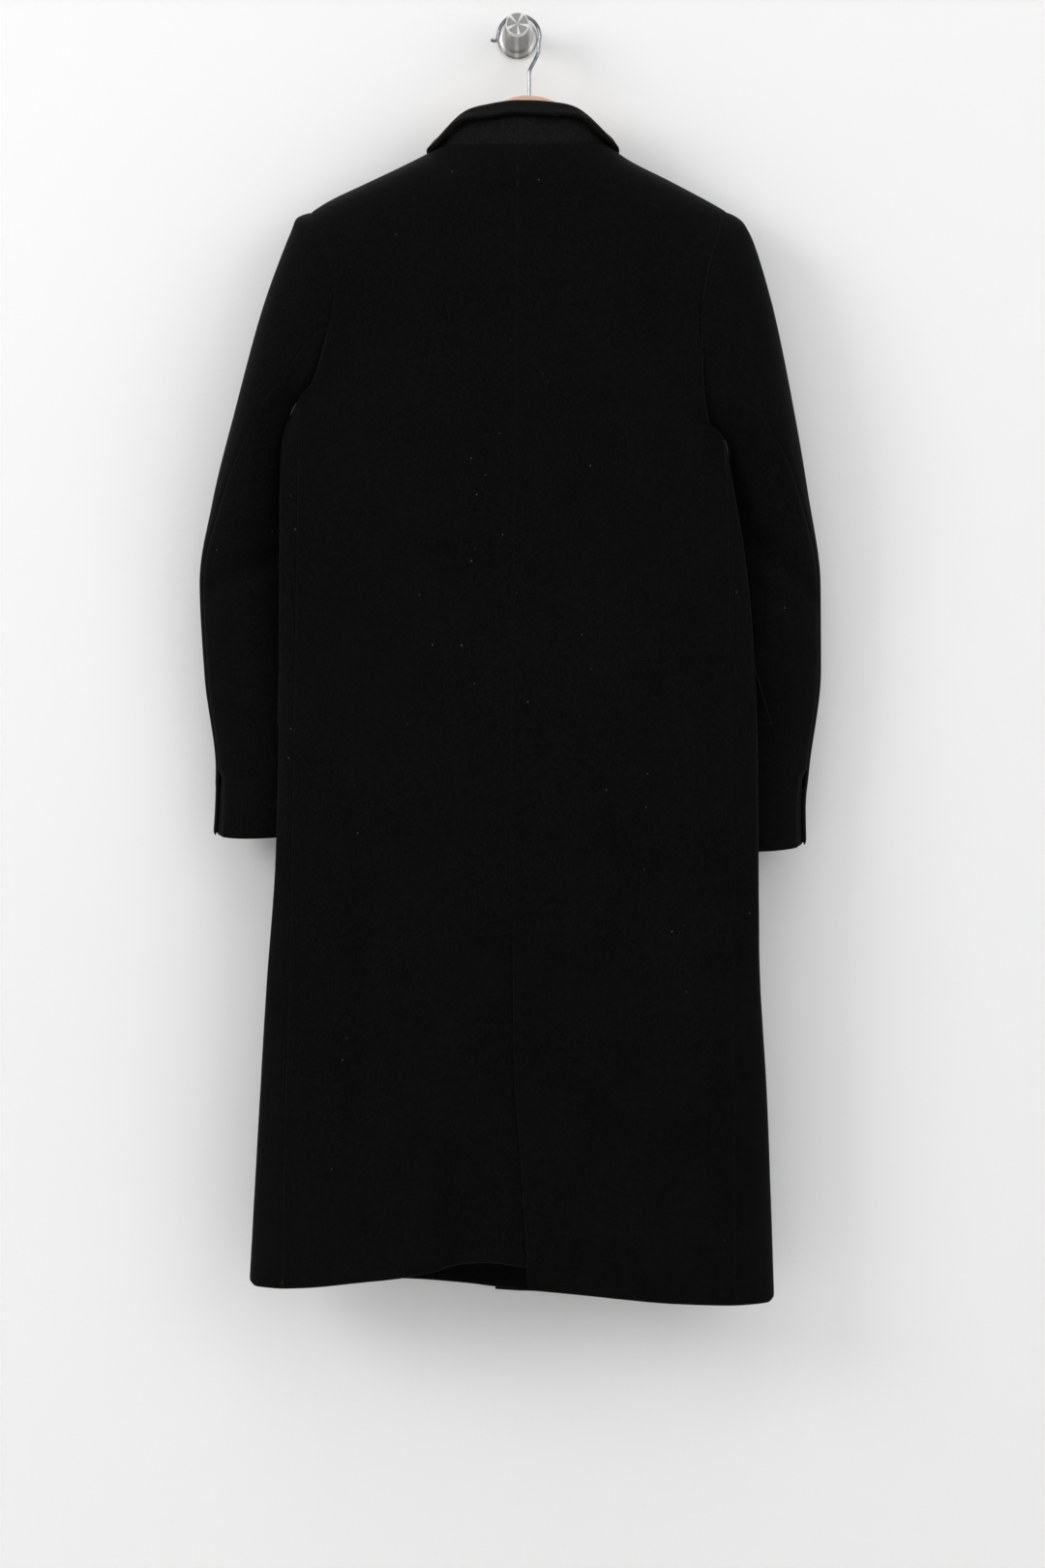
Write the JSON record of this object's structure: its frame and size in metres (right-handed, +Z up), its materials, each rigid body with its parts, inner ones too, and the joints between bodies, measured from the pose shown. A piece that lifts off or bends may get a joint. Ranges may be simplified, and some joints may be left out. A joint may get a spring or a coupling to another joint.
{
  "type": "long coat on a hanger and wall knob",
  "caption": "Long black wool overcoat seen from the back, on a wooden hanger hooked over a round brushed steel wall knob, with a centre vent, two-piece sleeves and a turned-down collar.",
  "frame": {"origin": "centre of the wall knob's back face, on the wall", "axes": "+Z up along the coat's length, +Y into the wall, +X to the right in the back view"},
  "size_m": [0.6079, 0.1248, 1.2629],
  "materials": {
    "black_wool": "soft matt, short nap",
    "black_button": "satin",
    "beech": "clear satin lacquer",
    "hook_wire": "bright drawn wire",
    "brushed_steel": "brushed"
  },
  "bodies": {
    "root": {"back_left": "black_wool", "back_right": "black_wool", "front_left": "black_wool", "front_right": "black_wool", "sleeve_left_top": "black_wool", "sleeve_left_under": "black_wool", "sleeve_right_top": "black_wool", "sleeve_right_under": "black_wool", "under_collar_left": "black_wool", "under_collar_right": "black_wool", "upper_collar": "black_wool", "pocket_flap_left": "black_wool", "pocket_flap_right": "black_wool", "button_1": "black_button", "button_2": "black_button", "button_3": "black_button", "button_4": "black_button", "button_5": "black_button", "hanger": "beech", "hanger_hook": "hook_wire", "wall_knob": "brushed_steel"}
  },
  "joints": []
}
